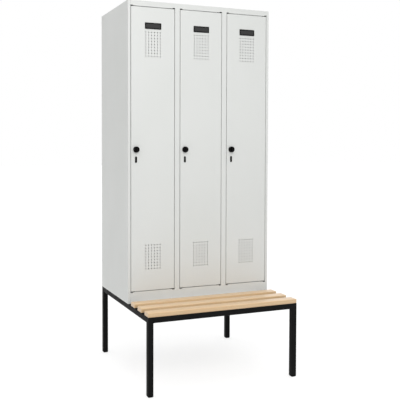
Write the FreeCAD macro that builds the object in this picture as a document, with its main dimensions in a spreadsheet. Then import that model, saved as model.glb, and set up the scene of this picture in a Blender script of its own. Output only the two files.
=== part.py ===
"""Three-door steel locker on a square-tube bench frame with a slatted wooden seat.

Lengths are in millimetres. The finished unit stands on the floor at z = 0, centred on x = 0 and
y = 0, with its doors facing -Y. Outlines are drawn in the unit's own corner frame: x from the left
side, y from the front of the body towards the back, z from the floor. Every piece is then placed so
that the whole unit is centred.
"""
import FreeCAD
import Part
import Sketcher

import os
import re

SIZES = {
    # Whole unit
    "unit_width": 900,
    "body_depth": 500,
    "body_height": 1700,
    "seat_reach": 315,
    "frame_height": 420,
    # Body sheet, stiles, posts and rails round the doors
    "body_sheet": 1,
    "inner_bend": 1,
    "stile_width": 15.5,
    "post_width": 31,
    "stop_width": 8,
    "rear_flange": 15,
    "top_rail_height": 30,
    "bottom_rail_height": 65,
    "corner_notch": 28,
    "relief_width": 15,
    "relief_height": 3.5,
    # Holes in the back panel for wall fixing
    "wall_hole_radius": 4.5,
    "wall_hole_spacing": 600,
    "wall_hole_drop": 60,
    # Hat shelves
    "hat_space": 290,
    "shelf_rim": 20,
    "shelf_setback": 12,
    # Coat rails
    "coat_rail_radius": 10,
    "coat_rail_wall": 1.5,
    "coat_rail_drop": 50,
    "coat_rail_flange_radius": 20,
    "coat_rail_flange": 2,
    # Coat hooks
    "hook_width": 14,
    "hook_ring_wall": 5,
    "hook_bar": 8,
    "hook_reach": 34,
    "hook_drop": 66,
    "hook_tip_rise": 30,
    "hook_rounding": 3,
    "hook_clearance": 0.3,
    # Door pans
    "door_sheet": 1,
    "door_depth": 20,
    "door_gap": 3,
    "door_return": 12,
    # Vent fields in the doors
    "vent_hole_radius": 3.25,
    "vent_pitch_across": 17.6,
    "vent_pitch_up": 16.8,
    "upper_vent_drop": 139.5,
    "lower_vent_rise": 124,
    # Stiffeners inside the doors
    "stiffener_width": 70,
    "stiffener_flange": 15,
    "stiffener_depth": 14,
    "stiffener_margin": 25,
    # Label holders
    "label_width": 98,
    "label_height": 35,
    "label_depth": 3,
    "label_border": 5,
    "label_floor": 1,
    "label_corner": 2,
    "label_drop": 104,
    # Turn knobs and their latches
    "knob_inset": 29,
    "knob_rise": 801,
    "knob_radius": 17,
    "knob_skirt": 15,
    "knob_length": 24,
    "knob_rounding": 2,
    "grip_width": 10,
    "knob_clearance": 0.3,
    "spindle_radius": 5,
    "socket_cover": 1.5,
    "spindle_clearance": 0.1,
    "tongue_width": 14,
    "tongue_thickness": 3,
    "latch_clearance": 1,
    # Key locks
    "lock_gap": 22,
    "escutcheon_border": 1.25,
    "escutcheon_height": 36,
    "escutcheon_depth": 3,
    "plug_radius": 4.5,
    "plug_proud": 1,
    "plug_clearance": 0.1,
    "key_slot_width": 1.8,
    "key_slot_height": 6,
    "key_slot_depth": 3,
    "lock_bolt_width": 12,
    # Hinge pivots and bushes
    "pivot_inset": 10,
    "pivot_margin": 0.8,
    "pivot_plate": 3,
    "pin_radius": 4,
    "pin_reach": 9,
    "pin_clearance": 0.1,
    "bush_wall": 2,
    "bush_length": 10,
    "bush_lip": 1.9,
    "thrust_clearance": 0.3,
    # Rubber door buffers
    "buffer_height": 6,
    "buffer_margin": 0.5,
    "buffer_end_distance": 60,
    "buffer_clearance": 0.3,
    # Bench frame tubes and their foot caps
    "tube_size": 30,
    "tube_wall": 2,
    "tube_corner": 2.5,
    "cap_height": 12,
    "cap_plug": 20,
    "cap_clearance": 0.2,
    "cap_rounding": 4,
    # Seat slats and their screws
    "slat_width": 58,
    "slat_thickness": 24,
    "slat_rounding": 4,
    "slat_screw_radius": 2.5,
    "slat_screw_cover": 9,
    "slat_screw_head_radius": 5.5,
    "slat_screw_head": 3.5,
    # Bolts between the frame and the body
    "body_bolt_radius": 4,
    "body_bolt_head_radius": 7,
    "body_bolt_head": 5,
    "body_bolt_end": 2,
    "body_bolt_setback": 90,
    "nut_height": 6.5,
    "fastener_clearance": 0.1,
}

DOOR_NAMES = ("left", "middle", "right")
HOOK_NAMES = ("left", "right")
SLAT_NAMES = ("front", "middle", "rear")
VENT_COLUMNS = 6
VENT_ROWS = 9
# Places of the two hooks along each coat rail, as shares of its length
HOOK_PLACE_SHARES = (0.25, 0.75)

DOORS = len(DOOR_NAMES)
POSTS = DOORS - 1

# Places and sizes that follow from the driving ones
FORMULAS = {
    "body_front": "(seat_reach - body_depth) / 2",
    "body_top": "frame_height + body_height",
    "under_top": "body_top - body_sheet",
    "opening_base": "frame_height + bottom_rail_height",
    "opening_top": "body_top - top_rail_height",
    "opening_width": f"(unit_width - 2 * stile_width - {POSTS} * post_width) / {DOORS}",
    "outer_bend": "inner_bend + body_sheet",
    "door_bend": "inner_bend + door_sheet",
    "stop_depth": "door_depth + buffer_height",
    "stop_back": "stop_depth + body_sheet",
    "back_front": "body_depth - 2 * body_sheet",
    "door_width": "opening_width - 2 * door_gap",
    "door_height": "opening_top - opening_base - 2 * door_gap",
    "door_base": "opening_base + door_gap",
    "vent_width": f"{VENT_COLUMNS - 1} * vent_pitch_across",
    "vent_height": f"{VENT_ROWS - 1} * vent_pitch_up",
    "shelf_top": "under_top - hat_space",
    "shelf_front": "stop_back + shelf_setback",
    "shelf_back": "back_front - body_sheet",
    "coat_rail_depth": "(shelf_front + shelf_back) / 2",
    "coat_rail_height": "shelf_top - shelf_rim - coat_rail_drop",
    "coat_rail_bore": "coat_rail_radius - coat_rail_wall",
    "hook_bore": "coat_rail_radius + hook_clearance",
    "hook_ring": "hook_bore + hook_ring_wall",
    "label_recess": "label_depth - label_floor",
    "spindle_socket": "knob_skirt - socket_cover",
    "latch_front": "stop_back + latch_clearance",
    "latch_reach": "knob_inset + door_gap",
    "escutcheon_width": "2 * (plug_radius + escutcheon_border)",
    "lock_drop": "knob_radius + lock_gap + escutcheon_height / 2",
    "pin_bore": "pin_radius + pin_clearance",
    "bush_radius": "pin_bore + bush_wall",
    "bush_hole": "bush_radius + fastener_clearance",
    "bush_flange": "door_gap - thrust_clearance",
    "bush_flange_radius": "bush_radius + bush_lip",
    "pivot_depth": "door_sheet + bush_hole + pivot_margin",
    "buffer_radius": "stop_width / 2 - buffer_margin",
    "frame_base": "frame_height - tube_size",
    "tube_middle": "tube_size / 2",
    "slat_pitch": f"seat_reach / {len(SLAT_NAMES)}",
    "slat_screw_setback": "(tube_size + slat_width) / 2",
    "slat_screw_bite": "slat_thickness - slat_screw_cover",
    "leg_length": "frame_height - cap_height",
}

# Which end of a line or which centre a constraint takes hold of
START, END, CENTRE = 1, 2, 3
ORIGIN_POINT = (-1, 1)

WORD = re.compile(r"[a-z][a-z_]+")

document = FreeCAD.newDocument("locker_unit")
sheet = document.addObject("Spreadsheet::Sheet", "Sizes")
sub_parts = []


def fill_sheet():
    for row, (name, value) in enumerate(SIZES.items(), start=1):
        sheet.set(f"A{row}", name.replace("_", " "))
        sheet.set(f"B{row}", str(value))
        sheet.setAlias(f"B{row}", name)
    document.recompute()


def bound(text):
    """A formula with every name followed back to the cells of the sheet."""
    def follow(match):
        word = match.group()
        if word in FORMULAS:
            return f"({bound(FORMULAS[word])})"
        if word in SIZES:
            return f"Sizes.{word}"
        return word
    return WORD.sub(follow, text)


def measure(text):
    return float(sheet.evalExpression(bound(text)))


# Drawing and solid features

def fix_point(sketch, geometry, point, x, y):
    """Hold a point of the sketch at two formulas."""
    for kind, place in (("DistanceX", x), ("DistanceY", y)):
        rule = Sketcher.Constraint(kind, *ORIGIN_POINT, geometry, point, measure(place))
        number = sketch.addConstraint(rule)
        sketch.setExpression(f"Constraints[{number}]", bound(place))


def draw_polygon(sketch, points):
    first = sketch.GeometryCount
    corners = [FreeCAD.Vector(measure(x), measure(y), 0) for x, y in points]
    for here, there in zip(corners, corners[1:] + corners[:1]):
        sketch.addGeometry(Part.LineSegment(here, there), False)
    for step, (x, y) in enumerate(points):
        following = first + (step + 1) % len(points)
        sketch.addConstraint(Sketcher.Constraint("Coincident", first + step, END, following, START))
        fix_point(sketch, first + step, START, x, y)


def draw_circle(sketch, x, y, radius):
    centre = FreeCAD.Vector(measure(x), measure(y), 0)
    number = sketch.addGeometry(Part.Circle(centre, FreeCAD.Vector(0, 0, 1), measure(radius)), False)
    fix_point(sketch, number, CENTRE, x, y)
    rule = sketch.addConstraint(Sketcher.Constraint("Radius", number, measure(radius)))
    sketch.setExpression(f"Constraints[{rule}]", bound(radius))


def rectangle(x_low, y_low, x_high, y_high):
    return [(x_low, y_low), (x_high, y_low), (x_high, y_high), (x_low, y_high)]


def square(x, y, half):
    return rectangle(f"{x} - ({half})", f"{y} - ({half})", f"{x} + ({half})", f"{y} + ({half})")


def hexagon(x, y, radius):
    turns = [60 * corner for corner in range(6)]
    return [(f"{x} + {radius} * cos({turn} deg)", f"{y} + {radius} * sin({turn} deg)") for turn in turns]


def draw(body, plane, loops, start):
    """A sketch of polygons and circles, standing at start along the plane's own axis."""
    sketch = body.newObject("Sketcher::SketchObject", f"{body.Name}_outline")
    support = next(feature for feature in body.Origin.OriginFeatures if feature.Role == f"{plane}_Plane")
    sketch.AttachmentSupport = [(support, "")]
    sketch.MapMode = "FlatFace"
    sign = "-" if plane == "XZ" else ""
    sketch.setExpression("AttachmentOffset.Base.z", bound(f"{sign}({start})"))
    for loop in loops:
        if isinstance(loop, tuple):
            draw_circle(sketch, *loop)
        else:
            draw_polygon(sketch, loop)
    return sketch


def add(body, plane, loops, start, length):
    """Add material with the given outline, from start and along the plane's axis."""
    sketch = draw(body, plane, loops, start)
    pad = body.newObject("PartDesign::Pad", f"{body.Name}_pad")
    pad.Profile = sketch
    pad.Reversed = plane == "XZ"
    pad.setExpression("Length", bound(length))
    return pad


def cut(body, plane, loops, start, length):
    """Remove material with the given outline, from start and along the plane's axis."""
    sketch = draw(body, plane, loops, start)
    pocket = body.newObject("PartDesign::Pocket", f"{body.Name}_pocket")
    pocket.Profile = sketch
    pocket.Reversed = plane != "XZ"
    pocket.setExpression("Length", bound(length))
    return pocket


def edge_lies_on(edge, line):
    """Whether a straight edge lies on a line given by two of its coordinates."""
    for axis, place in line.items():
        for vertex in edge.Vertexes:
            if abs(getattr(vertex.Point, axis) - measure(place)) > edge.Tolerance:
                return False
    return True


def round_edges(body, radius, *lines):
    """Round the edges of the body that lie on the given lines."""
    document.recompute()
    base = body.Tip
    edges = enumerate(base.Shape.Edges, start=1)
    names = [f"Edge{number}" for number, edge in edges if any(edge_lies_on(edge, line) for line in lines)]
    fillet = body.newObject("PartDesign::Fillet", f"{body.Name}_rounding")
    fillet.Base = (base, names)
    fillet.setExpression("Radius", bound(radius))


def round_upright_edges(body, radius, corners):
    round_edges(body, radius, *[{"x": x, "y": y} for x, y in corners])


def place(piece, x, y, z):
    """Move a piece from the unit's corner frame to the centred frame."""
    piece.setExpression("Placement.Base.x", bound(f"{x} - unit_width / 2"))
    piece.setExpression("Placement.Base.y", bound(f"{y} + body_front"))
    piece.setExpression("Placement.Base.z", bound(z))


def new_body(label, x="0", y="0", z="0"):
    body = document.addObject("PartDesign::Body", label)
    body.Label = label
    body.AllowCompound = True
    place(body, x, y, z)
    return body


def new_part(label, x="0", y="0", z="0"):
    body = new_body(label, x, y, z)
    sub_parts.append(body)
    return body


def new_group(label, bodies):
    """A piece made of several bodies that stay separate solids."""
    group = document.addObject("Part::Compound", label)
    group.Label = label
    group.Links = bodies
    sub_parts.append(group)


# Places along the width

def opening_left(door):
    return f"(stile_width + {door} * (opening_width + post_width))"


def opening_right(door):
    return f"({opening_left(door)} + opening_width)"


def partition_middle(post):
    return f"({opening_right(post)} + post_width / 2)"


def compartment_left(door):
    return "body_sheet" if door == 0 else f"({partition_middle(door - 1)} + body_sheet / 2)"


def compartment_right(door):
    return "(unit_width - body_sheet)" if door == POSTS else f"({partition_middle(door)} - body_sheet / 2)"


# Body

def side_wall(side):
    """Side wall folded from one sheet: rear flange, side, front stile, return and door stop."""
    folded = [
        ("0", "0"),
        ("stile_width", "0"),
        ("stile_width", "stop_depth"),
        ("stile_width + stop_width", "stop_depth"),
        ("stile_width + stop_width", "stop_back"),
        ("stile_width - body_sheet", "stop_back"),
        ("stile_width - body_sheet", "body_sheet"),
        ("body_sheet", "body_sheet"),
        ("body_sheet", "body_depth - body_sheet"),
        ("rear_flange", "body_depth - body_sheet"),
        ("rear_flange", "body_depth"),
        ("0", "body_depth"),
    ]
    if side == "right":
        folded = [(f"unit_width - ({x})", y) for x, y in folded]
    wall = new_part(f"{side}_side_wall", z="frame_height")
    add(wall, "XY", [folded], "0", "body_height - body_sheet")
    round_upright_edges(wall, "outer_bend", folded[0:2])
    round_upright_edges(wall, "inner_bend", folded[6:8])


def post(number, side):
    """Hat-shaped post between two doors, with a door stop on each side."""
    hat = [
        ("0", "0"),
        ("post_width", "0"),
        ("post_width", "stop_depth"),
        ("post_width + stop_width", "stop_depth"),
        ("post_width + stop_width", "stop_back"),
        ("post_width - body_sheet", "stop_back"),
        ("post_width - body_sheet", "body_sheet"),
        ("body_sheet", "body_sheet"),
        ("body_sheet", "stop_back"),
        ("-stop_width", "stop_back"),
        ("-stop_width", "stop_depth"),
        ("0", "stop_depth"),
    ]
    piece = new_part(f"{side}_post", x=opening_right(number), z="opening_base")
    add(piece, "XY", [hat], "0", "opening_top - opening_base")
    round_upright_edges(piece, "outer_bend", hat[0:2])
    round_upright_edges(piece, "inner_bend", hat[6:8])


def partition(number, side):
    """Wall between two compartments, with a flange along the back panel."""
    half = "body_sheet / 2"
    folded = [
        (f"-{half}", "body_sheet"),
        (half, "body_sheet"),
        (half, "back_front - body_sheet"),
        ("rear_flange", "back_front - body_sheet"),
        ("rear_flange", "back_front"),
        (f"-{half}", "back_front"),
    ]
    piece = new_part(f"{side}_partition", x=partition_middle(number), z="opening_base")
    add(piece, "XY", [folded], "0", "under_top - opening_base")


def back_panel():
    panel = new_part("back_panel", x="body_sheet", y="back_front", z="frame_height")
    width = "unit_width - 2 * body_sheet"
    add(panel, "XZ", [rectangle("0", "0", width, "body_height - body_sheet")], "0", "body_sheet")
    middle = f"({width}) / 2"
    height = "body_height - wall_hole_drop"
    holes = [(f"{middle} {sign} wall_hole_spacing / 2", height, "wall_hole_radius") for sign in "+-"]
    cut(panel, "XZ", holes, "0", "body_sheet")


def top_panel():
    panel = new_part("top_panel", z="under_top")
    outline = rectangle("0", "0", "unit_width", "body_depth")
    add(panel, "XY", [outline], "0", "body_sheet")
    round_upright_edges(panel, "outer_bend", outline)


def floor_pan():
    """Compartment floor whose skirts stand on the bench frame, with two flanges for bolts."""
    pan = new_part("floor_pan", z="frame_height")
    left, right = "body_sheet", "unit_width - body_sheet"
    outer = rectangle(left, "stop_back", right, "back_front")
    inner = rectangle(f"{left} + body_sheet", "stop_back + body_sheet",
                      f"{right} - body_sheet", "back_front - body_sheet")
    add(pan, "XY", [outer], "bottom_rail_height - body_sheet", "body_sheet")
    add(pan, "XY", [outer, inner], "0", "bottom_rail_height")
    add(pan, "XY", [rectangle(left, "stop_back", "tube_size", "back_front")], "0", "body_sheet")
    add(pan, "XY", [rectangle("unit_width - tube_size", "stop_back", right, "back_front")], "0", "body_sheet")
    places = on_both_rails(body_bolt_depths())
    cut(pan, "XY", [(x, y, "body_bolt_radius + fastener_clearance") for x, y in places], "0", "body_sheet")


def door_rail(label, low, high, relief_low, lip_low, stop_low):
    """Front plate above or below the doors, with a lip and a door stop along the middle of each opening.

    Both corners of an opening have a small relief, where the folds of the sheet end.
    """
    rail = new_part(label)
    front = rectangle("stile_width", low, "unit_width - stile_width", high)
    add(rail, "XZ", [front], "0", "body_sheet")
    relief_high = f"{relief_low} + relief_height"
    for door in range(DOORS):
        for left in (opening_left(door), f"{opening_right(door)} - relief_width"):
            relief = rectangle(left, relief_low, f"{left} + relief_width", relief_high)
            cut(rail, "XZ", [relief], "0", "body_sheet")
    for door in range(DOORS):
        start = f"{opening_left(door)} + corner_notch"
        length = "opening_width - 2 * corner_notch"
        lip = rectangle("0", lip_low, "stop_back", f"{lip_low} + body_sheet")
        stop = rectangle("stop_depth", stop_low, "stop_back", f"{stop_low} + body_sheet + stop_width")
        add(rail, "YZ", [lip], start, length)
        add(rail, "YZ", [stop], start, length)
    return rail


def top_rail():
    low = "opening_top"
    door_rail("top_rail", low, "under_top", low, low, f"{low} - stop_width")


def bottom_rail():
    """Rail below the doors, with a flange along its lower edge that stands on the middle cross rail."""
    lip = "opening_base - body_sheet"
    relief = "opening_base - relief_height"
    rail = door_rail("bottom_rail", "frame_height", "opening_base", relief, lip, lip)
    flange = rectangle("0", "frame_height", "stop_depth", "frame_height + body_sheet")
    inset = "(stile_width + stop_width)"
    add(rail, "YZ", [flange], inset, f"unit_width - 2 * {inset}")


# Inside the compartments

def hat_shelf(door, name):
    shelf = new_part(f"{name}_hat_shelf", z="shelf_top")
    left, right = compartment_left(door), compartment_right(door)
    outer = rectangle(left, "shelf_front", right, "shelf_back")
    inner = rectangle(f"{left} + body_sheet", "shelf_front + body_sheet",
                      f"{right} - body_sheet", "shelf_back - body_sheet")
    add(shelf, "XY", [outer], "-body_sheet", "body_sheet")
    add(shelf, "XY", [outer, inner], "-shelf_rim", "shelf_rim")


def coat_rail(door, name):
    """Tube between the walls of a compartment, with a round flange on each end."""
    rail = new_part(f"{name}_coat_rail", compartment_left(door), "coat_rail_depth", "coat_rail_height")
    length = f"{compartment_right(door)} - {compartment_left(door)}"
    bore = ("0", "0", "coat_rail_bore")
    flange = ("0", "0", "coat_rail_flange_radius")
    add(rail, "YZ", [("0", "0", "coat_rail_radius"), bore], "0", length)
    for start in ("0", f"{length} - coat_rail_flange"):
        add(rail, "YZ", [flange, bore], start, "coat_rail_flange")


def coat_hook(door, name, share):
    """Hook that hangs on the coat rail by a ring, with its tip to the front."""
    left, right = compartment_left(door), compartment_right(door)
    hook = new_part(name, f"{left} + {share} * ({right} - {left})", "coat_rail_depth", "coat_rail_height")
    start = "-hook_width / 2"
    half = "hook_bar / 2"
    neck = "-(hook_bore + hook_ring_wall / 2)"
    bend = [
        (half, neck),
        (half, "-hook_drop"),
        (f"-hook_reach - {half}", "-hook_drop"),
        (f"-hook_reach - {half}", "-hook_drop + hook_tip_rise"),
        (f"-hook_reach + {half}", "-hook_drop + hook_tip_rise"),
        (f"-hook_reach + {half}", "-hook_drop + hook_bar"),
        (f"-{half}", "-hook_drop + hook_bar"),
        (f"-{half}", neck),
    ]
    add(hook, "YZ", [bend], start, "hook_width")
    round_edges(hook, "hook_rounding", *[{"y": y, "z": z} for y, z in bend[1:5]])
    add(hook, "YZ", [("0", "0", "hook_ring"), ("0", "0", "hook_bore")], start, "hook_width")


# Doors

def door_place(door):
    return f"{opening_left(door)} + door_gap"


def door_pan(door, name):
    """Door folded from one sheet, with returns at the back, vent fields, and holes for lock and hinges."""
    pan = new_part(f"{name}_door", x=door_place(door), z="door_base")

    def frame(inset):
        return rectangle(inset, inset, f"door_width - {inset}", f"door_height - {inset}")

    add(pan, "XZ", [frame("0")], "0", "door_sheet")
    add(pan, "XZ", [frame("0"), frame("door_sheet")], "0", "door_depth")
    add(pan, "XZ", [frame("0"), frame("door_return")], "door_depth - door_sheet", "door_sheet")
    for radius, inset in (("door_bend", "0"), ("inner_bend", "door_sheet")):
        sides = [{"y": inset, "x": x} for x in (inset, f"door_width - {inset}")]
        ends = [{"y": inset, "z": z} for z in (inset, f"door_height - {inset}")]
        round_edges(pan, radius, *sides, *ends)
    spindle_hole = ("knob_inset", "knob_rise", "spindle_radius + spindle_clearance")
    plug_hole = ("knob_inset", "knob_rise - lock_drop", "plug_radius + plug_clearance")
    cut(pan, "XZ", [spindle_hole, plug_hole], "0", "door_depth")
    for start in ("0", "door_height - door_bend"):
        cut(pan, "XY", [("door_width - pivot_inset", "pivot_depth", "bush_hole")], start, "door_bend")
    vent_fields(pan)


def vent_fields(pan):
    """Round holes in rows and columns, near the top and near the bottom of the door."""
    left = "(door_width - vent_width) / 2"
    bases = ("lower_vent_rise", "door_height - upper_vent_drop - vent_height")
    heights = [f"{base} + {row} * vent_pitch_up" for base in bases for row in range(VENT_ROWS)]
    column = cut(pan, "XZ", [(left, height, "vent_hole_radius") for height in heights], "0", "door_sheet")
    field = pan.newObject("PartDesign::LinearPattern", f"{pan.Name}_vents")
    field.Originals = [column]
    field.Direction = (column.Profile[0], ["H_Axis"])
    field.Mode = "Spacing"
    field.Occurrences = VENT_COLUMNS
    field.setExpression("Offset", bound("vent_pitch_across"))
    pan.Tip = field


def door_stiffener(door, name):
    """Hat channel on the inside of the door, between the two vent fields."""
    low = "lower_vent_rise + vent_height + stiffener_margin"
    high = "door_height - upper_vent_drop - vent_height - stiffener_margin"
    left = f"{door_place(door)} + (door_width - stiffener_width) / 2"
    channel = new_part(f"{name}_door_stiffener", left, "door_sheet", f"door_base + {low}")
    inner, outer = "stiffener_flange", "stiffener_flange - door_sheet"
    profile = [
        ("0", "0"),
        (inner, "0"),
        (inner, "stiffener_depth - door_sheet"),
        (f"stiffener_width - {inner}", "stiffener_depth - door_sheet"),
        (f"stiffener_width - {inner}", "0"),
        ("stiffener_width", "0"),
        ("stiffener_width", "door_sheet"),
        (f"stiffener_width - ({outer})", "door_sheet"),
        (f"stiffener_width - ({outer})", "stiffener_depth"),
        (outer, "stiffener_depth"),
        (outer, "door_sheet"),
        ("0", "door_sheet"),
    ]
    add(channel, "XY", [profile], "0", f"{high} - ({low})")


def label_holder(door, name):
    """Moulded plate on the door front with a shallow recess for a card."""
    middle = f"{door_place(door)} + door_width / 2"
    holder = new_part(f"{name}_label_holder", middle, z="door_base + door_height - label_drop")

    def plate(inset):
        across, up = f"label_width / 2 - {inset}", f"label_height / 2 - {inset}"
        return rectangle(f"-({across})", f"-({up})", across, up)

    add(holder, "XZ", [plate("0")], "-label_depth", "label_depth")
    across, up = "label_width / 2", "label_height / 2"
    corners = [{"x": f"{a}{across}", "z": f"{b}{up}"} for a in ("-", "") for b in ("-", "")]
    round_edges(holder, "label_corner", *corners)
    cut(holder, "XZ", [plate("label_border")], "-label_depth", "label_recess")


def turn_knob(door, name):
    """Round knob with a grip bar across it and a socket for the spindle at the back."""
    knob = new_part(f"{name}_turn_knob", f"{door_place(door)} + knob_inset", z="door_base + knob_rise")
    rim = ("0", "0", "knob_radius")
    add(knob, "XZ", [rim], "-knob_skirt", "knob_skirt - knob_clearance")
    half, length = "grip_width / 2", "knob_radius - knob_rounding"
    bar = rectangle(f"-{half}", f"-({length})", half, length)
    add(knob, "XZ", [bar], "-knob_length", "knob_length - knob_skirt")
    sides = [{"x": x, "y": "-knob_length"} for x in (half, f"-{half}")]
    ends = [{"z": z, "y": "-knob_length"} for z in (length, f"-({length})")]
    round_edges(knob, "knob_rounding", *sides, *ends)
    socket = ("0", "0", "spindle_radius + fastener_clearance")
    cut(knob, "XZ", [socket], "-spindle_socket", "spindle_socket")


def latch_blade(label, x, z, width):
    """Flat blade behind the door stops. It hangs down in a free door and turns behind a stop to hold it."""
    blade = new_body(label, x, "latch_front", z)
    half = f"{width} / 2"
    add(blade, "XZ", [rectangle(f"-{half}", "-latch_reach", half, half)], "0", "tongue_thickness")
    return blade


def latch_tongue(door, name):
    """Spindle from the knob through the door, with the latch tongue riveted to its end."""
    x, z = f"{door_place(door)} + knob_inset", "door_base + knob_rise"
    spindle = new_body(f"{name}_spindle", x, z=z)
    add(spindle, "XZ", [("0", "0", "spindle_radius")], "-spindle_socket", "spindle_socket + latch_front")
    new_group(f"{name}_latch_tongue", [spindle, latch_blade(f"{name}_tongue", x, z, "tongue_width")])


def key_escutcheon(door, name):
    """Oblong plate round the key plug."""
    height = "door_base + knob_rise - lock_drop"
    plate = new_part(f"{name}_key_escutcheon", f"{door_place(door)} + knob_inset", z=height)
    end = "escutcheon_width / 2"
    straight = f"(escutcheon_height / 2 - {end})"
    middle = rectangle(f"-{end}", f"-{straight}", end, straight)
    for loop in (middle, ("0", straight, end), ("0", f"-{straight}", end)):
        add(plate, "XZ", [loop], "-escutcheon_depth", "escutcheon_depth")
    cut(plate, "XZ", [("0", "0", "plug_radius + plug_clearance")], "-escutcheon_depth", "escutcheon_depth")


def lock_plug(door, name):
    """Key plug through escutcheon and door, with the lock bolt riveted to its end."""
    x, z = f"{door_place(door)} + knob_inset", "door_base + knob_rise - lock_drop"
    plug = new_body(f"{name}_plug", x, z=z)
    front = "(escutcheon_depth + plug_proud)"
    add(plug, "XZ", [("0", "0", "plug_radius")], f"-{front}", f"{front} + latch_front")
    across, up = "key_slot_width / 2", "key_slot_height / 2"
    cut(plug, "XZ", [rectangle(f"-{across}", f"-{up}", across, up)], f"-{front}", "key_slot_depth")
    new_group(f"{name}_lock_plug", [plug, latch_blade(f"{name}_lock_bolt", x, z, "lock_bolt_width")])


# Hinges and buffers

def hinge_bushes(door, name):
    """Flanged bushes in the top and bottom edge of the door, which turn on the pins."""
    x = f"{door_place(door)} + door_width - pivot_inset"
    bushes = new_part(f"{name}_hinge_bushes", x, "pivot_depth", "door_base")
    bore = ("0", "0", "pin_bore")
    sleeve = ("0", "0", "bush_radius")
    flange = ("0", "0", "bush_flange_radius")
    add(bushes, "XY", [flange, bore], "-bush_flange", "bush_flange")
    add(bushes, "XY", [sleeve, bore], "0", "bush_length")
    add(bushes, "XY", [sleeve, bore], "door_height - bush_length", "bush_length")
    add(bushes, "XY", [flange, bore], "door_height", "bush_flange")


def hinge_pivots():
    """Plates in the rail notches on the hinge side of each opening, each with a pin."""
    pivots = new_part("hinge_pivots")
    for door in range(DOORS):
        right = opening_right(door)
        plate = rectangle(f"{right} - corner_notch", "body_sheet", right, "stop_depth")
        pin = (f"{right} - door_gap - pivot_inset", "pivot_depth", "pin_radius")
        add(pivots, "XY", [plate], "opening_top", "pivot_plate")
        add(pivots, "XY", [pin], "opening_top - door_gap - pin_reach", "door_gap + pin_reach")
        add(pivots, "XY", [plate], "opening_base - pivot_plate", "pivot_plate")
        add(pivots, "XY", [pin], "opening_base", "door_gap + pin_reach")


def door_buffers():
    """Rubber pads on the stops at the lock side, near the top and bottom of each door."""
    buffers = new_part("door_buffers")
    heights = ("opening_base + buffer_end_distance", "opening_top - buffer_end_distance")
    for door in range(DOORS):
        middle = f"{opening_left(door)} + stop_width / 2"
        pads = [(middle, height, "buffer_radius") for height in heights]
        add(buffers, "XZ", pads, "door_depth + buffer_clearance", "buffer_height - buffer_clearance")


# Bench frame and seat

def on_both_rails(depths):
    """Places in plan along the middle of the left and the right side rail."""
    return [(x, y) for x in ("tube_middle", "unit_width - tube_middle") for y in depths]


def body_bolt_depths():
    return ["stop_back + body_bolt_setback", "back_front - body_bolt_setback"]


def slat_screw_depths():
    fronts = [f"{number} * slat_pitch - seat_reach" for number in range(len(SLAT_NAMES))]
    return [f"{front} + slat_screw_setback" for front in fronts]


def tube(body, plane, length):
    """Square tube with rounded corners, along the axis of the plane."""
    far = "tube_size - tube_wall"
    outer = rectangle("0", "0", "tube_size", "tube_size")
    inner = rectangle("tube_wall", "tube_wall", far, far)
    add(body, plane, [outer, inner], "0", length)
    round_edges(body, "tube_corner", *[dict(zip(plane.lower(), corner)) for corner in outer])


def end_frame(side):
    """Two legs and a side rail of square tube, welded end to face."""
    left = "0" if side == "left" else "unit_width - tube_size"
    legs = []
    for row, depth in (("front", "-seat_reach"), ("rear", "body_depth - tube_size")):
        leg = new_body(f"{side}_{row}_leg", left, depth, "cap_height")
        tube(leg, "XY", "leg_length")
        legs.append(leg)
    front = "(tube_size - seat_reach)"
    rail = new_body(f"{side}_side_rail", left, front, "frame_base")
    tube(rail, "XZ", "seat_reach + body_depth - 2 * tube_size")
    drillings = {"body_bolt_radius": body_bolt_depths(), "slat_screw_radius": slat_screw_depths()}
    for radius, depths in drillings.items():
        bores = [("tube_middle", f"{y} - {front}", f"{radius} + fastener_clearance") for y in depths]
        cut(rail, "XY", bores, "0", "tube_size")
    new_group(f"{side}_end_frame", [*legs, rail])


def cross_rail(row, depth):
    rail = new_part(f"{row}_cross_rail", "tube_size", depth, "frame_base")
    tube(rail, "YZ", "unit_width - 2 * tube_size")


def foot_caps():
    """Rounded feet, each with a plug in the lower end of a leg."""
    caps = new_part("foot_caps")
    middles = on_both_rails(["tube_middle - seat_reach", "body_depth - tube_middle"])
    add(caps, "XY", [square(x, y, "tube_middle") for x, y in middles], "0", "cap_height")
    sides = [{"x": f"{x} {sign} tube_middle", "z": "0"} for x, _ in middles for sign in "+-"]
    ends = [{"y": f"{y} {sign} tube_middle", "z": "0"} for _, y in middles for sign in "+-"]
    round_edges(caps, "cap_rounding", *sides, *ends)
    plugs = [square(x, y, "tube_middle - tube_wall - cap_clearance") for x, y in middles]
    add(caps, "XY", plugs, "cap_height", "cap_plug")


def seat_slat(number, row):
    """Wooden slat with rounded edges and blind holes for its screws."""
    slat = new_part(f"{row}_slat", y=f"{number} * slat_pitch - seat_reach", z="frame_height")
    add(slat, "YZ", [rectangle("0", "0", "slat_width", "slat_thickness")], "0", "unit_width")
    sides = [{"y": y, "z": z} for y in ("0", "slat_width") for z in ("0", "slat_thickness")]
    round_edges(slat, "slat_rounding", *sides)
    bore = "slat_screw_radius + fastener_clearance"
    holes = [(x, "slat_screw_setback", bore) for x in ("tube_middle", "unit_width - tube_middle")]
    cut(slat, "XY", holes, "0", "slat_screw_bite + fastener_clearance")


def slat_screws():
    """Screws from below through the side rails into the slats."""
    screws = new_part("slat_screws", z="frame_base")
    places = on_both_rails(slat_screw_depths())
    heads = [(x, y, "slat_screw_head_radius") for x, y in places]
    shanks = [(x, y, "slat_screw_radius") for x, y in places]
    add(screws, "XY", heads, "-slat_screw_head", "slat_screw_head")
    add(screws, "XY", shanks, "0", "tube_size + slat_screw_bite")


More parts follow.
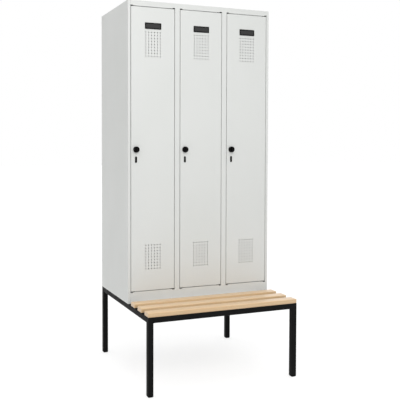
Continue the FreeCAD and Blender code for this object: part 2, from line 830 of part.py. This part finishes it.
def body_bolts():
    """Bolts from below through the side rails and the flanges of the floor pan, with their nuts."""
    bolts = new_part("body_bolts", z="frame_base")
    places = on_both_rails(body_bolt_depths())
    seat = "tube_size + body_sheet"
    shanks = [(x, y, "body_bolt_radius") for x, y in places]
    bores = [(x, y, "body_bolt_radius + fastener_clearance") for x, y in places]
    outsides = [hexagon(x, y, "body_bolt_head_radius") for x, y in places]
    add(bolts, "XY", outsides, "-body_bolt_head", "body_bolt_head")
    add(bolts, "XY", shanks, "0", f"{seat} + nut_height + body_bolt_end")
    add(bolts, "XY", outsides + bores, seat, "nut_height")


def build_body():
    for side in ("left", "right"):
        side_wall(side)
    for number, side in enumerate(("left", "right")):
        post(number, side)
        partition(number, side)
    back_panel()
    top_panel()
    floor_pan()
    top_rail()
    bottom_rail()
    hinge_pivots()
    door_buffers()


def build_compartments():
    for door, name in enumerate(DOOR_NAMES):
        hat_shelf(door, name)
        coat_rail(door, name)
        for hook, share in zip(HOOK_NAMES, HOOK_PLACE_SHARES):
            coat_hook(door, f"{name}_rail_{hook}_hook", share)


def build_doors():
    pieces = (
        door_pan,
        door_stiffener,
        label_holder,
        turn_knob,
        latch_tongue,
        key_escutcheon,
        lock_plug,
        hinge_bushes,
    )
    for door, name in enumerate(DOOR_NAMES):
        for piece in pieces:
            piece(door, name)


def build_bench():
    for side in ("left", "right"):
        end_frame(side)
    depths = {"front": "-seat_reach", "middle": "0", "rear": "body_depth - tube_size"}
    for row, depth in depths.items():
        cross_rail(row, depth)
    foot_caps()
    for number, row in enumerate(SLAT_NAMES):
        seat_slat(number, row)
    slat_screws()
    body_bolts()


def check_model():
    """Stop if any feature failed or any piece has no valid solid."""
    for feature in document.Objects:
        if {"Invalid", "Error"} & set(feature.State):
            raise RuntimeError(f"{feature.Label} failed: {feature.State}")
    for piece in sub_parts:
        if piece.Shape.isNull() or not piece.Shape.isValid() or not piece.Shape.Solids:
            raise RuntimeError(f"{piece.Label} has no valid solid")


def write_parts():
    os.makedirs("parts", exist_ok=True)
    for piece in sub_parts:
        piece.Shape.exportStep(f"parts/{piece.Label}.step")


fill_sheet()
build_body()
build_compartments()
build_doors()
build_bench()
document.recompute()
check_model()
write_parts()
for piece in sub_parts:
    print(f"{piece.Label}: {len(piece.Shape.Solids)} solids, {piece.Shape.Volume:.0f} cubic mm")
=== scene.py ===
"""Looks of the three-door locker with its bench: finishes, finer small parts, light and camera.

Lengths are in metres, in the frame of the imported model: +Z up, doors facing -Y.
"""

import itertools
import math

import bmesh
import bpy
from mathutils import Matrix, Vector


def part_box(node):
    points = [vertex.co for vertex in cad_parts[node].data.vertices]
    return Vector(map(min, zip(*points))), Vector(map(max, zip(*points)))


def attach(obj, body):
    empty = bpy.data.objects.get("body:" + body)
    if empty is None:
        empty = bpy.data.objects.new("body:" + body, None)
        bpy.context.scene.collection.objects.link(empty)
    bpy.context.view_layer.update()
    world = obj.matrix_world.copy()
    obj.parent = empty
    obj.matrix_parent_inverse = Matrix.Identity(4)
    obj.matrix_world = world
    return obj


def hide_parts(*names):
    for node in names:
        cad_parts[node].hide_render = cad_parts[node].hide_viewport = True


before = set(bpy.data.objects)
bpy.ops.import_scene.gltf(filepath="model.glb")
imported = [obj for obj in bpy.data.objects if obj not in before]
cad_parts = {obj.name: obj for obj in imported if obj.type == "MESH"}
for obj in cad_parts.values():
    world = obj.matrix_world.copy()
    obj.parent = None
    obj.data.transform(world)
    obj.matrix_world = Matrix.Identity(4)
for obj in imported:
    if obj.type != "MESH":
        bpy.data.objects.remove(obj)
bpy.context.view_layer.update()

DOORS = ("left", "middle", "right")
SLATS = ("front", "middle", "rear")

# Camera, found from the corners of the unit
CAMERA_PLACE = (-1.6255, -3.4563, 1.3011)
CAMERA_PITCH = 1.853
CAMERA_TURN = 20.519
CAMERA_LENS = 57.444
CAMERA_SHIFT = (0.145, -0.08)

# Light of the room at the horizon and overhead, and one soft lamp
ROOM_LIGHT = (0.20, 1.58)
LAMP_PLACE = (-0.6, -2.4, 2.4)
LAMP_TARGET = (0.0, -0.1, 1.3)
LAMP_WIDTH = 1.2
LAMP_WATTS = 22.0
FLOOR_REACH = 40.0
FLOOR_WHITE = 0.60
# What the camera sees of the floor: part shaded white, part even glow
FLOOR_SHADED = 0.35
FLOOR_GLOW = 0.70

# Sizes of the finer small parts
SHARP_ANGLE = math.radians(40)
CORNER_STEPS = 6
SLAT_ROUNDING = 0.004
LABEL_CORNER = 0.002
LABEL_BORDER = 0.005
LABEL_FLOOR = 0.001
LABEL_EDGE = 0.0008
WINDOW_CORNER = 0.001
CARD_CLEARANCE = 0.0005
CARD_SINK = 0.0007
CARD_EDGE = 0.0003
KNOB_SKIRT = 0.015
KNOB_EDGE = 0.0015
GRIP_WIDTH = 0.010
GRIP_MARGIN = 0.0015
GRIP_CORNER = 0.0038
GRIP_EDGE = 0.0025
PLATE_EDGE = 0.0012
KEY_HOLE = 0.0092
CAP_HEIGHT = 0.012
CAP_CORNER = 0.0025
CAP_ROUNDING = 0.008
CAP_PLUG_WIDTH = 0.0256
WELD_RADIUS = 0.0024
WELD_MARGIN = 0.003
WELD_RIPPLE_SHARE = 0.16
WELD_WAVE = 0.0032
WELD_STEPS_PER_WAVE = 6
WELD_END_SHARE = 0.4
MERGE_DISTANCE = 1e-7

# Widths of worn edges, on the black frame also of a painted edge highlight, and depths of fine relief in
# the finishes
PAINT_WEAR = 0.0018
FRAME_WEAR_AND_HIGHLIGHT = 0.0015
PLASTIC_WEAR = 0.0008
WOOD_WEAR = 0.003
COARSE_RELIEF = 0.0003
FINE_RELIEF = 0.0002
POLISHED_RELIEF = 0.0001


class Finish:
    """A material with one Principled shader. Textures follow the object's own coordinates in metres."""

    MIX_FACTOR, MIX_FIRST, MIX_SECOND, MIX_RESULT = 0, 6, 7, 2
    BEVEL_SAMPLES = 4

    def __init__(self, name, **constants):
        self.material = bpy.data.materials.new(name)
        self.material.use_nodes = True
        self.tree = self.material.node_tree
        self.shader = self.tree.nodes["Principled BSDF"]
        self.place = self.add("TexCoord").outputs["Object"]
        for socket, value in constants.items():
            self.set(socket.replace("_", " ").title().replace("Ior", "IOR"), value)

    def feed(self, socket, value):
        if isinstance(value, bpy.types.NodeSocket):
            self.tree.links.new(value, socket)
        else:
            socket.default_value = value

    def add(self, kind, sockets=None, **settings):
        node = self.tree.nodes.new(f"ShaderNode{kind}")
        for name, value in settings.items():
            setattr(node, name, value)
        for socket, value in (sockets or {}).items():
            self.feed(node.inputs[socket], value)
        return node

    def set(self, socket, value):
        self.feed(self.shader.inputs[socket], value)

    def noise(self, cells, detail=2.0, roughness=0.5, place=None):
        """Noise around one half, with that many cells per metre along x, y and z."""
        scaled = self.add("Mapping", {"Vector": place or self.place, "Scale": cells}).outputs["Vector"]
        sockets = {"Vector": scaled, "Scale": 1.0, "Detail": detail, "Roughness": roughness}
        return self.add("TexNoise", sockets).outputs["Fac"]

    def spread(self, value, low, high, start=0.3, end=0.7):
        """Carries values from start to end over to low to high, and holds them there outside."""
        sockets = {"Value": value, "From Min": start, "From Max": end, "To Min": low, "To Max": high}
        return self.add("MapRange", sockets).outputs["Result"]

    def tint(self, factor, first, second):
        sockets = {self.MIX_FACTOR: factor, self.MIX_FIRST: first, self.MIX_SECOND: second}
        return self.add("Mix", sockets, data_type="RGBA").outputs[self.MIX_RESULT]

    def times(self, first, second):
        return self.add("Math", {0: first, 1: second}, operation="MULTIPLY").outputs["Value"]

    def edges(self, width):
        """About one within that width of an edge, zero on flat faces."""
        rounded = self.add("Bevel", {"Radius": width}, samples=self.BEVEL_SAMPLES).outputs["Normal"]
        own = self.add("NewGeometry").outputs["Normal"]
        match = self.add("VectorMath", {0: rounded, 1: own}, operation="DOT_PRODUCT").outputs["Value"]
        return self.spread(match, 1.0, 0.0, start=0.80, end=0.99)

    def bump(self, height, strength, depth):
        node = self.add("Bump", {"Height": height, "Strength": strength, "Distance": depth})
        self.set("Normal", node.outputs["Normal"])


def grey(level):
    return (level, level, level, 1.0)


# Finishes

def grey_paint():
    """Satin powder coat: faint clouds, fine orange peel, edges rubbed a little lighter."""
    paint = Finish("grey_powder_coat")
    clouds = paint.spread(paint.noise((2.4, 2.4, 1.6), detail=3.0), 0.0, 1.0)
    colour = paint.tint(clouds, (0.705, 0.720, 0.700, 1.0), (0.733, 0.746, 0.728, 1.0))
    specks = paint.spread(paint.noise((900, 900, 900), detail=1.0), 0.0, 0.14, start=0.55, end=0.75)
    colour = paint.tint(specks, colour, grey(0.60))
    rub_and_highlight_patches = paint.spread(paint.noise((60, 60, 25)), 0.0, 0.55, start=0.45, end=0.65)
    colour = paint.tint(paint.times(paint.edges(PAINT_WEAR), rub_and_highlight_patches), colour, grey(0.80))
    paint.set("Base Color", colour)
    paint.set("Roughness", paint.spread(paint.noise((7, 7, 4), detail=4.0), 0.36, 0.48))
    paint.bump(paint.noise((330, 330, 330), detail=2.0), 0.18, COARSE_RELIEF)
    return paint.material


def frame_black():
    """Matt black powder coat with a fine structure; its edges are painted grey in patches, partly as rubbed
    wear and partly as a painted highlight.
    """
    paint = Finish("black_powder_coat", specular_ior_level=0.035)
    clouds = paint.spread(paint.noise((9, 9, 9), detail=4.0), 0.0, 1.0)
    colour = paint.tint(clouds, grey(0.0080), grey(0.0115))
    # Painted highlight and rubbed wear: the edges are painted lighter grey in patches
    rub_and_highlight_patches = paint.spread(paint.noise((45, 45, 30), detail=3.0), 0.0, 0.8, start=0.42, end=0.62)
    colour = paint.tint(paint.times(paint.edges(FRAME_WEAR_AND_HIGHLIGHT), rub_and_highlight_patches), colour, grey(0.034))
    paint.set("Base Color", colour)
    paint.set("Roughness", paint.spread(paint.noise((20, 20, 20), detail=3.0), 0.42, 0.58))
    paint.bump(paint.noise((700, 700, 700), detail=1.0), 0.30, COARSE_RELIEF)
    return paint.material


def black_plastic():
    """Moulded black plastic with a fine grain."""
    plastic = Finish("moulded_black_plastic", specular_ior_level=0.06)
    flow = plastic.spread(plastic.noise((40, 40, 40), detail=3.0), 0.0, 1.0)
    colour = plastic.tint(flow, grey(0.0018), grey(0.0045))
    colour = plastic.tint(plastic.times(plastic.edges(PLASTIC_WEAR), 0.5), colour, grey(0.020))
    plastic.set("Base Color", colour)
    plastic.set("Roughness", plastic.spread(plastic.noise((90, 90, 90)), 0.40, 0.55))
    plastic.bump(plastic.noise((1400, 1400, 1400), detail=1.0), 0.25, FINE_RELIEF)
    return plastic.material


def beech(name, shift):
    """Lacquered beech with its grain along x. The shift moves the board to another place in the log."""
    wood = Finish(name, coat_weight=0.8, coat_roughness=0.30)
    board = wood.add("Mapping", {"Vector": wood.place, "Location": shift}).outputs["Vector"]
    rings = wood.add("TexWave", {
        "Vector": board, "Scale": 34.0, "Distortion": 5.0, "Detail": 2.0, "Detail Scale": 0.25,
    }, wave_type="RINGS", rings_direction="X", wave_profile="SAW").outputs["Fac"]
    streaks = wood.noise((5, 260, 260), detail=3.0, place=board)
    tone = wood.spread(wood.noise((1.6, 9, 9), detail=2.0, place=board), 0.0, 1.0)
    colour = wood.tint(tone, (0.700, 0.495, 0.280, 1.0), (0.770, 0.570, 0.345, 1.0))
    colour = wood.tint(wood.times(rings, 0.40), colour, (0.600, 0.385, 0.190, 1.0))
    colour = wood.tint(wood.spread(streaks, 0.0, 0.45), colour, (0.560, 0.350, 0.170, 1.0))
    pores = wood.noise((150, 1500, 1500), detail=1.0, place=board)
    flecks = wood.spread(pores, 0.0, 0.6, start=0.62, end=0.72)
    colour = wood.tint(flecks, colour, (0.350, 0.185, 0.080, 1.0))
    colour = wood.tint(wood.times(wood.edges(WOOD_WEAR), 0.25), colour, (0.840, 0.660, 0.440, 1.0))
    wood.set("Base Color", colour)
    wood.set("Roughness", wood.spread(streaks, 0.40, 0.56))
    wood.bump(streaks, 0.20, COARSE_RELIEF)
    return wood.material


def zinc_steel():
    """Zinc-plated steel: fine brushing and a mottled, slightly blue tone."""
    metal = Finish("zinc_plated_steel", metallic=1.0)
    mottle = metal.spread(metal.noise((120, 120, 120), detail=4.0), 0.0, 1.0)
    metal.set("Base Color", metal.tint(mottle, (0.52, 0.54, 0.57, 1.0), (0.66, 0.67, 0.68, 1.0)))
    brushing = metal.noise((1500, 60, 1500), detail=2.0)
    metal.set("Roughness", metal.spread(brushing, 0.26, 0.42))
    metal.bump(brushing, 0.12, FINE_RELIEF)
    return metal.material


def chrome_tube():
    """Polished tube with faint finger marks, and fine scratches along it from the hooks."""
    metal = Finish("chrome_plated_tube", metallic=1.0)
    marks = metal.spread(metal.noise((35, 35, 35), detail=5.0), 0.0, 1.0, start=0.45)
    metal.set("Base Color", metal.tint(marks, (0.80, 0.81, 0.83, 1.0), (0.70, 0.71, 0.73, 1.0)))
    scratches = metal.noise((15, 2200, 2200), detail=2.0)
    metal.set("Roughness", metal.spread(scratches, 0.08, 0.22))
    metal.bump(scratches, 0.05, POLISHED_RELIEF)
    return metal.material


def buffer_rubber():
    """Matt dark rubber with a dusty bloom."""
    rubber = Finish("dark_rubber")
    bloom = rubber.spread(rubber.noise((160, 160, 160), detail=4.0), 0.0, 1.0)
    rubber.set("Base Color", rubber.tint(bloom, grey(0.018), grey(0.035)))
    rubber.set("Roughness", rubber.spread(rubber.noise((300, 300, 300)), 0.70, 0.88))
    rubber.bump(rubber.noise((1100, 1100, 1100)), 0.30, COARSE_RELIEF)
    return rubber.material


def label_card():
    """Bare dark-grey card with paper fibres."""
    card = Finish("dark_card", specular_ior_level=0.2)
    fibres = card.noise((500, 500, 1400), detail=3.0)
    colour = card.tint(card.spread(fibres, 0.0, 1.0), grey(0.028), grey(0.048))
    card.set("Base Color", colour)
    card.set("Roughness", card.spread(fibres, 0.60, 0.75))
    card.bump(fibres, 0.20, FINE_RELIEF)
    return card.material


FINISHES = {
    "grey_paint": grey_paint(),
    "frame_black": frame_black(),
    "black_plastic": black_plastic(),
    "zinc_steel": zinc_steel(),
    "chrome_tube": chrome_tube(),
    "buffer_rubber": buffer_rubber(),
}


def paint_nodes():
    """Every carried-over node gets the full finish for its material slot."""
    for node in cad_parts.values():
        for slot in node.material_slots:
            slot.material = FINISHES.get(slot.material.name, slot.material)


# Meshes

def rounded_rectangle(width, height, radius):
    """Points of a rectangle with rounded corners about zero, as many for every size and for a circle."""
    points = []
    for corner, (side_x, side_y) in enumerate(((1, 1), (-1, 1), (-1, -1), (1, -1))):
        for step in range(CORNER_STEPS + 1):
            turn = math.radians(90) * (corner + step / CORNER_STEPS)
            x = side_x * (width / 2 - radius) + radius * math.cos(turn)
            y = side_y * (height / 2 - radius) + radius * math.sin(turn)
            points.append((x, y))
    return points


def rounding(radius):
    """Steps round an edge from side to end: how far in from the side, how far short of the end."""
    turns = [math.radians(90) * step / CORNER_STEPS for step in range(CORNER_STEPS + 1)]
    return [(radius * (1 - math.cos(turn)), radius * (1 - math.sin(turn))) for turn in turns]


def loft(loops, closed=False, mesh=None):
    """Skin over loops with as many points each, joined end to end if closed and capped if not."""
    mesh = mesh or bmesh.new()
    rings = [[mesh.verts.new(point) for point in loop] for loop in loops]
    for here, there in zip(rings, rings[1:] + rings[:1] if closed else rings[1:]):
        for one, two, three, four in zip(here, here[1:] + here[:1], there[1:] + there[:1], there):
            mesh.faces.new((one, two, three, four))
    if not closed:
        mesh.faces.new(rings[0])
        mesh.faces.new(rings[-1])
    bmesh.ops.remove_doubles(mesh, verts=mesh.verts, dist=MERGE_DISTANCE)
    bmesh.ops.recalc_face_normals(mesh, faces=mesh.faces)
    return mesh


def door_loop(middle, depth, width, height, corner):
    """Rounded rectangle that faces the front, at the given depth."""
    return [(middle.x + x, depth, middle.z + z) for x, z in rounded_rectangle(width, height, corner)]


def raised_loops(middle, back, front, width, height, corner, edge):
    """Loops of a plate from its back to its front face, with the front edge rounded."""
    loops = [door_loop(middle, back, width, height, corner)]
    for inset, short in rounding(edge):
        sizes = (width - 2 * inset, height - 2 * inset, max(corner - inset, 0.0))
        loops.append(door_loop(middle, front + short, *sizes))
    return loops


def add_piece(name, mesh, body, slot, *nodes, finish=None):
    """Makes the mesh a piece that rides on a body, in its slot's finish or another, for the given nodes."""
    data = bpy.data.meshes.new(name)
    mesh.to_mesh(data)
    mesh.free()
    data.materials.append(finish or FINISHES[slot])
    data.shade_smooth()
    data.set_sharp_from_angle(angle=SHARP_ANGLE)
    piece = bpy.data.objects.new(name, data)
    bpy.context.scene.collection.objects.link(piece)
    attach(piece, body)
    if nodes:
        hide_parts(*nodes)


def box_of(node):
    """Middle and size of a node, and its two corners."""
    low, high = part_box(node)
    return (low + high) / 2, high - low, low, high


# Pieces

def add_slats():
    """Seat slats with all their edges and ends rounded, each from another place in the log."""
    shifts = ((0.0, 0.31, -0.33), (0.7, 0.24, -0.37), (1.9, 0.12, -0.31))
    for row, shift in zip(SLATS, shifts):
        middle, size, low, high = box_of(f"{row}_slat")
        ends = []
        for inset, short in rounding(SLAT_ROUNDING):
            section = rounded_rectangle(size.y - 2 * inset, size.z - 2 * inset, SLAT_ROUNDING - inset)
            ends.append([(short, middle.y + y, middle.z + z) for y, z in section])
        left = [[(low.x + x, y, z) for x, y, z in loop] for loop in reversed(ends)]
        right = [[(high.x - x, y, z) for x, y, z in loop] for loop in ends]
        finish = beech(f"beech_{row}", shift)
        add_piece(f"{row}_seat_board", loft(left + right), "locker", "beech", f"{row}_slat", finish=finish)


def add_labels():
    """Label frames with soft edges, and a bare card in the recess of each."""
    card_finish = label_card()
    for door in DOORS:
        node = f"{door}_label_holder"
        middle, size, low, high = box_of(node)
        window = (size.x - 2 * LABEL_BORDER, size.z - 2 * LABEL_BORDER)
        loops = raised_loops(middle, high.y, low.y, size.x, size.z, LABEL_CORNER, LABEL_EDGE)
        for inset, sink in reversed(rounding(LABEL_EDGE)):
            grown = [side + 2 * inset for side in window]
            loops.append(door_loop(middle, low.y + sink, *grown, WINDOW_CORNER + inset))
        loops.append(door_loop(middle, high.y - LABEL_FLOOR, *window, WINDOW_CORNER))
        body = f"{door}_door_leaf"
        add_piece(f"{door}_label_frame", loft(loops), body, "black_plastic", node)
        card = [side - 2 * CARD_CLEARANCE for side in window]
        back, front = high.y - LABEL_FLOOR, low.y + CARD_SINK
        loops = raised_loops(middle, back, front, *card, WINDOW_CORNER, CARD_EDGE)
        add_piece(f"{door}_label_card", loft(loops), body, "black_plastic", finish=card_finish)


def add_knobs():
    """Turn knobs: a round skirt with a soft rim and a grip bar that grows out of it."""
    for door in DOORS:
        node = f"{door}_turn_knob"
        middle, size, low, high = box_of(node)
        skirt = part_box(f"{door}_door")[0].y - KNOB_SKIRT
        loops = raised_loops(middle, high.y, skirt, size.x, size.z, size.x / 2, KNOB_EDGE)
        grip = size.z - 2 * (KNOB_EDGE + GRIP_MARGIN)
        loops += raised_loops(middle, skirt, low.y, GRIP_WIDTH, grip, GRIP_CORNER, GRIP_EDGE)
        add_piece(f"{door}_knob_moulding", loft(loops), f"{door}_knob", "black_plastic", node)


def add_key_plates():
    """Oblong plates with soft edges round the key plugs."""
    for door in DOORS:
        node = f"{door}_key_escutcheon"
        middle, size, low, high = box_of(node)
        loops = raised_loops(middle, high.y, low.y, size.x, size.z, size.x / 2, PLATE_EDGE)
        for depth in (low.y, high.y):
            loops.append(door_loop(middle, depth, KEY_HOLE, KEY_HOLE, KEY_HOLE / 2))
        mesh = loft(loops, closed=True)
        add_piece(f"{door}_key_plate", mesh, f"{door}_door_leaf", "black_plastic", node)


def add_foot_caps():
    """Foot caps with the tubes' corners and well rounded lower edges, and their plugs in the legs."""
    tube = box_of("front_cross_rail")[1].y
    middle, size, low, high = box_of("foot_caps")
    shoulder = low.z + CAP_HEIGHT
    outline = [(CAP_PLUG_WIDTH, high.z), (CAP_PLUG_WIDTH, shoulder), (tube, shoulder)]
    outline += [(tube - 2 * inset, low.z + short) for inset, short in rounding(CAP_ROUNDING)]
    reach = (size - Vector((tube, tube, 0))) / 2
    mesh = bmesh.new()
    for side_x, side_y in itertools.product((-1, 1), repeat=2):
        place = middle + Vector((side_x * reach.x, side_y * reach.y, 0))
        loops = []
        for width, height in outline:
            square = rounded_rectangle(width, width, CAP_CORNER)
            loops.append([(place.x + x, place.y + y, height) for x, y in square])
        loft(loops, mesh=mesh)
    add_piece("foot_glides", mesh, "locker", "black_plastic", "foot_caps")


def bead_loops(start, end):
    """Circles along a straight weld bead, with its ripples, drawn in at both ends."""
    run = end - start
    across = run.orthogonal().normalized()
    up = run.normalized().cross(across)
    waves = run.length / WELD_WAVE
    steps = round(waves * WELD_STEPS_PER_WAVE)
    loops = []
    for step in range(steps + 1):
        share = step / steps
        ripple = 1 + WELD_RIPPLE_SHARE * math.cos(2 * math.pi * waves * share)
        drawn_in = min(1.0, WELD_END_SHARE + min(share, 1 - share) * waves)
        radius = WELD_RADIUS * ripple * drawn_in
        circle = rounded_rectangle(2 * radius, 2 * radius, radius)
        loops.append([start + share * run + x * across + y * up for x, y in circle])
    return loops


def weld_corners():
    """Middle of each inner corner between two tubes of the frame, and the direction it runs in."""
    corners = []
    for row in SLATS:
        middle, size, low, high = box_of(f"{row}_cross_rail")
        for end, outward in ((low.x, -1), (high.x, 1)):
            if row == "middle":
                corners += [((end, side, middle.z), (0, 0, 1)) for side in (low.y, high.y)]
            else:
                inward = size.y if row == "front" else -size.y
                leg = (end + outward * size.y / 2, middle.y + inward / 2, low.z)
                corners += [((end, middle.y, low.z), (0, 1, 0)), (leg, (1, 0, 0))]
    return corners


def add_welds():
    """Weld beads where the tubes of the frame meet."""
    reach = box_of("front_cross_rail")[1].y / 2 - WELD_MARGIN
    mesh = bmesh.new()
    for middle, direction in weld_corners():
        middle, half = Vector(middle), reach * Vector(direction)
        loft(bead_loops(middle - half, middle + half), mesh=mesh)
    add_piece("weld_beads", mesh, "locker", "frame_black")


# Stage, light and camera

def mixed_by_view(tree, unseen, seen, output):
    """Rays from the camera, mirrors and glass meet the shader that is seen, all others the other one."""
    rays = tree.nodes.new("ShaderNodeLightPath")
    factor = rays.outputs["Is Camera Ray"]
    for name in ("Is Glossy Ray", "Is Transmission Ray"):
        either = tree.nodes.new("ShaderNodeMath")
        either.operation = "MAXIMUM"
        tree.links.new(factor, either.inputs[0])
        tree.links.new(rays.outputs[name], either.inputs[1])
        factor = either.outputs["Value"]
    mix = tree.nodes.new("ShaderNodeMixShader")
    for socket, value in zip(mix.inputs, (factor, unseen, seen)):
        tree.links.new(value, socket)
    tree.links.new(mix.outputs["Shader"], output.inputs["Surface"])


def light_room():
    world = bpy.data.worlds.new("white_studio")
    bpy.context.scene.world = world
    world.use_nodes = True
    tree = world.node_tree
    seen, unseen = [tree.nodes.new("ShaderNodeBackground") for _ in range(2)]
    for background in (seen, unseen):
        background.inputs["Color"].default_value = grey(1.0)
    direction = tree.nodes.new("ShaderNodeSeparateXYZ")
    tree.links.new(tree.nodes.new("ShaderNodeTexCoord").outputs["Generated"], direction.inputs["Vector"])
    height = tree.nodes.new("ShaderNodeMapRange")
    tree.links.new(direction.outputs["Z"], height.inputs["Value"])
    for socket, value in zip(("To Min", "To Max"), ROOM_LIGHT):
        height.inputs[socket].default_value = value
    tree.links.new(height.outputs["Result"], unseen.inputs["Strength"])
    shaders = [background.outputs["Background"] for background in (unseen, seen)]
    mixed_by_view(tree, *shaders, tree.nodes["World Output"])


def hang_lamp():
    light = bpy.data.lights.new("soft_lamp", "AREA")
    light.size = LAMP_WIDTH
    light.energy = LAMP_WATTS
    lamp = bpy.data.objects.new("soft_lamp", light)
    lamp.location = LAMP_PLACE
    aim = Vector(LAMP_TARGET) - Vector(LAMP_PLACE)
    lamp.rotation_euler = aim.to_track_quat("-Z", "Y").to_euler()
    bpy.context.scene.collection.objects.link(lamp)


def lay_floor():
    """White floor that takes the unit's shadow."""
    material = bpy.data.materials.new("white_floor")
    material.use_nodes = True
    tree = material.node_tree
    tree.nodes.remove(tree.nodes["Principled BSDF"])
    white, shaded = [tree.nodes.new("ShaderNodeBsdfDiffuse") for _ in range(2)]
    white.inputs["Color"].default_value = grey(FLOOR_WHITE)
    shaded.inputs["Color"].default_value = grey(FLOOR_SHADED)
    glow = tree.nodes.new("ShaderNodeEmission")
    glow.inputs["Strength"].default_value = FLOOR_GLOW
    seen = tree.nodes.new("ShaderNodeAddShader")
    tree.links.new(shaded.outputs["BSDF"], seen.inputs[0])
    tree.links.new(glow.outputs["Emission"], seen.inputs[1])
    mixed_by_view(tree, white.outputs["BSDF"], seen.outputs["Shader"], tree.nodes["Material Output"])
    mesh = bmesh.new()
    bmesh.ops.create_grid(mesh, x_segments=1, y_segments=1, size=FLOOR_REACH)
    data = bpy.data.meshes.new("floor")
    mesh.to_mesh(data)
    mesh.free()
    data.materials.append(material)
    floor = bpy.data.objects.new("floor", data)
    bpy.context.scene.collection.objects.link(floor)


def set_camera():
    lens = bpy.data.cameras.new("camera")
    lens.lens = CAMERA_LENS
    lens.shift_x, lens.shift_y = CAMERA_SHIFT
    camera = bpy.data.objects.new("camera", lens)
    camera.location = CAMERA_PLACE
    camera.rotation_euler = (math.radians(90 - CAMERA_PITCH), 0.0, math.radians(-CAMERA_TURN))
    bpy.context.scene.collection.objects.link(camera)
    bpy.context.scene.camera = camera


paint_nodes()
add_slats()
add_labels()
add_knobs()
add_key_plates()
add_foot_caps()
add_welds()
light_room()
hang_lamp()
lay_floor()
set_camera()
bpy.context.scene.view_settings.view_transform = "Standard"
